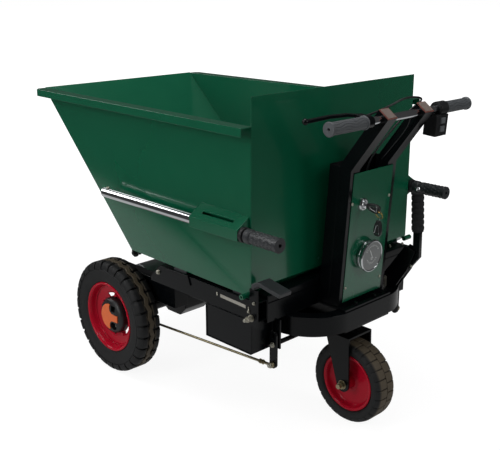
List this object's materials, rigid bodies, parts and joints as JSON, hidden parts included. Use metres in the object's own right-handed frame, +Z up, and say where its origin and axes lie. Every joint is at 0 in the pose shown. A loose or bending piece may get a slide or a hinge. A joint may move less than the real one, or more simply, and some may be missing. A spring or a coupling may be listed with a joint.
{
  "type": "electric dump tricycle",
  "caption": "Walk-behind electric dump tricycle: an open steel hopper that tips forward over driven front wheels, on a tube frame with a swivelling rear caster and a control column.",
  "frame": {"origin": "on the ground at the middle of the machine's length and width", "axes": "+X forward, the way the load is tipped; +Y to the left; +Z up"},
  "size_m": [1.3247, 0.824, 1.045],
  "materials": {
    "green_paint": "gloss",
    "black_paint": "gloss",
    "red_paint": "gloss",
    "tyre_rubber": "matt",
    "rubber": "matt",
    "chrome": "polished",
    "zinc": "satin",
    "aluminium": "satin",
    "black_plastic": "matt",
    "grey_plastic": "gloss",
    "brown_plastic": "matt"
  },
  "bodies": {
    "chassis": {"arm_caps": "brown_plastic", "axle_beams": "black_paint", "axle_hangers": "black_paint", "axle_housing": "black_paint", "axle_shafts": "zinc", "battery_boxes": "black_paint", "battery_gauge": "grey_plastic", "brake_arms": "black_paint", "brake_cable": "black_plastic", "brake_lever": "black_plastic", "brake_plates": "zinc", "brake_rods": "zinc", "brake_shaft": "black_paint", "caster_mount": "black_paint", "column_foot": "black_paint", "column_housing": "black_paint", "column_panel": "green_paint", "column_posts": "black_paint", "column_stringers": "black_paint", "drive_motor": "aluminium", "foot_latch": "black_paint", "handlebar": "chrome", "handlebar_grips": "rubber", "hinge_bearing": "black_paint", "hinge_cross_member": "black_paint", "key_lock": "chrome", "latch_pedal": "rubber", "lower_cross_member": "black_paint", "parking_brake_bracket": "black_paint", "parking_brake_grip": "rubber", "parking_brake_lever": "black_paint", "rail_cross_members": "black_paint", "rest_pads": "rubber", "side_rails": "black_paint", "throttle_switch": "black_plastic", "u_frame": "black_paint"},
    "hopper": {"hopper_floor": "green_paint", "hopper_front_wall": "green_paint", "hopper_hinge": "black_paint", "hopper_rear_wall": "green_paint", "hopper_side_left": "green_paint", "hopper_side_right": "green_paint", "latch_pins": "green_paint", "handle_holders": "green_paint", "handle_collars": "black_plastic"},
    "lift_handle_left": {"lift_tube_left": "chrome", "lift_grip_left": "rubber"},
    "lift_handle_right": {"lift_tube_right": "chrome", "lift_grip_right": "rubber"},
    "front_wheel_left": {"front_tyre_left": "tyre_rubber", "front_rim_left": "red_paint", "front_hub_left": "black_plastic"},
    "front_wheel_right": {"front_tyre_right": "tyre_rubber", "front_rim_right": "red_paint", "front_hub_right": "black_plastic"},
    "caster_fork": {"caster_fork": "black_paint", "caster_axle_bolt": "zinc"},
    "caster_wheel": {"caster_tyre": "tyre_rubber", "caster_rim": "red_paint"}
  },
  "joints": [
    {"name": "hopper_tip", "type": "hinge", "parent": "chassis", "child": "hopper", "pos_m": [0.1744, 0, 0.466], "axis": [0, 1, 0], "range_deg": [0, 60]},
    {"name": "lift_slide_left", "type": "slide", "parent": "hopper", "child": "lift_handle_left", "axis": [-1, 0, 0], "range_m": [0, 0.4]},
    {"name": "lift_slide_right", "type": "slide", "parent": "hopper", "child": "lift_handle_right", "axis": [-1, 0, 0], "range_m": [0, 0.4]},
    {"name": "front_wheel_left_roll", "type": "hinge", "parent": "chassis", "child": "front_wheel_left", "pos_m": [0.3154, 0.317, 0.2], "axis": [0, 1, 0], "continuous": true},
    {"name": "front_wheel_right_roll", "type": "hinge", "parent": "chassis", "child": "front_wheel_right", "pos_m": [0.3154, -0.317, 0.2], "axis": [0, 1, 0], "continuous": true},
    {"name": "caster_swivel", "type": "hinge", "parent": "chassis", "child": "caster_fork", "pos_m": [-0.4716, 0, 0.29], "axis": [0, 0, 1], "continuous": true},
    {"name": "caster_wheel_roll", "type": "hinge", "parent": "caster_fork", "child": "caster_wheel", "pos_m": [-0.4986, 0, 0.1315], "axis": [0, 1, 0], "continuous": true}
  ]
}
